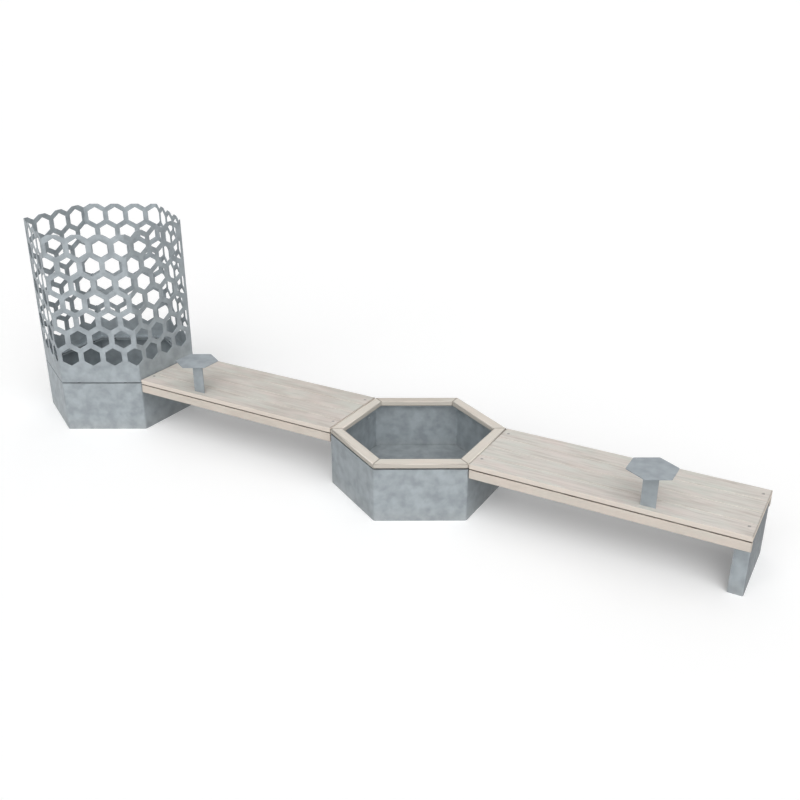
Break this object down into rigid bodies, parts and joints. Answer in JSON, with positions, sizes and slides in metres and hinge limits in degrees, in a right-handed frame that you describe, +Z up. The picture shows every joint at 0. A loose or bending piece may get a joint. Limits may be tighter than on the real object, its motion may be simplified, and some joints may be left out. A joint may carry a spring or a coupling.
{
  "type": "bench with planter",
  "caption": "Long street bench: wooden seats join a low six-sided planter, a planter with a tall pierced steel screen and a folded leg, with small six-sided tables.",
  "frame": {"origin": "middle of the footprint on the ground", "axes": "+X along the row towards the leg, -Y is the front with the tables, +Z up"},
  "size_m": [6.0016, 1.2982, 1.6658],
  "materials": {
    "edge_wood": "pale pinkish timber, planed, unvarnished",
    "fastener_steel": "plain stainless, slightly dulled",
    "galvanised_steel": "hot-dip galvanised, matt, mottled blue-grey",
    "pad_rubber": "black, matt",
    "plank_wood": "pale weathered timber, lengthwise grain, unvarnished",
    "rim_wood": "pale timber with softened edges, unvarnished"
  },
  "bodies": {
    "root": {"bench_1_beam_back": "galvanised_steel", "bench_1_beam_front": "galvanised_steel", "bench_1_cross_bars": "galvanised_steel", "bench_1_end_plate": "galvanised_steel", "bench_1_far_end_plate": "galvanised_steel", "bench_1_fascia_back": "edge_wood", "bench_1_fascia_front": "edge_wood", "bench_1_plank_1": "plank_wood", "bench_1_plank_2": "plank_wood", "bench_1_plank_3": "plank_wood", "bench_1_plank_4": "plank_wood", "bench_1_table_stem": "galvanised_steel", "bench_1_table_top": "galvanised_steel", "bench_2_beam_back": "galvanised_steel", "bench_2_beam_front": "galvanised_steel", "bench_2_cross_bars": "galvanised_steel", "bench_2_end_plate": "galvanised_steel", "bench_2_fascia_back": "edge_wood", "bench_2_fascia_front": "edge_wood", "bench_2_plank_1": "plank_wood", "bench_2_plank_2": "plank_wood", "bench_2_plank_3": "plank_wood", "bench_2_plank_4": "plank_wood", "bench_2_table_stem": "galvanised_steel", "bench_2_table_top": "galvanised_steel", "bench_leg": "galvanised_steel", "centre_shell": "galvanised_steel", "centre_tray": "galvanised_steel", "fascia_screws": "fastener_steel", "frame_bolts": "fastener_steel", "frame_nuts": "fastener_steel", "plank_bolts": "fastener_steel", "plank_nuts": "fastener_steel", "plank_screws": "fastener_steel", "rim_board_back_left": "rim_wood", "rim_board_back_right": "rim_wood", "rim_board_front_left": "rim_wood", "rim_board_front_right": "rim_wood", "rim_board_left": "rim_wood", "rim_board_right": "rim_wood", "rim_pads": "pad_rubber", "rim_screws": "fastener_steel", "screen_base_shell": "galvanised_steel", "screen_base_tray": "galvanised_steel", "screen_bolts": "fastener_steel", "screen_mount_ring": "galvanised_steel", "screen_nuts": "fastener_steel", "screen_pads": "pad_rubber", "screen_panel_back_left": "galvanised_steel", "screen_panel_back_right": "galvanised_steel", "screen_panel_front_left": "galvanised_steel", "screen_panel_front_right": "galvanised_steel", "screen_panel_left": "galvanised_steel", "screen_panel_right": "galvanised_steel", "screen_seam_strips": "galvanised_steel", "stem_bolts": "fastener_steel", "stem_nuts": "fastener_steel", "table_nuts": "fastener_steel"}
  },
  "joints": []
}
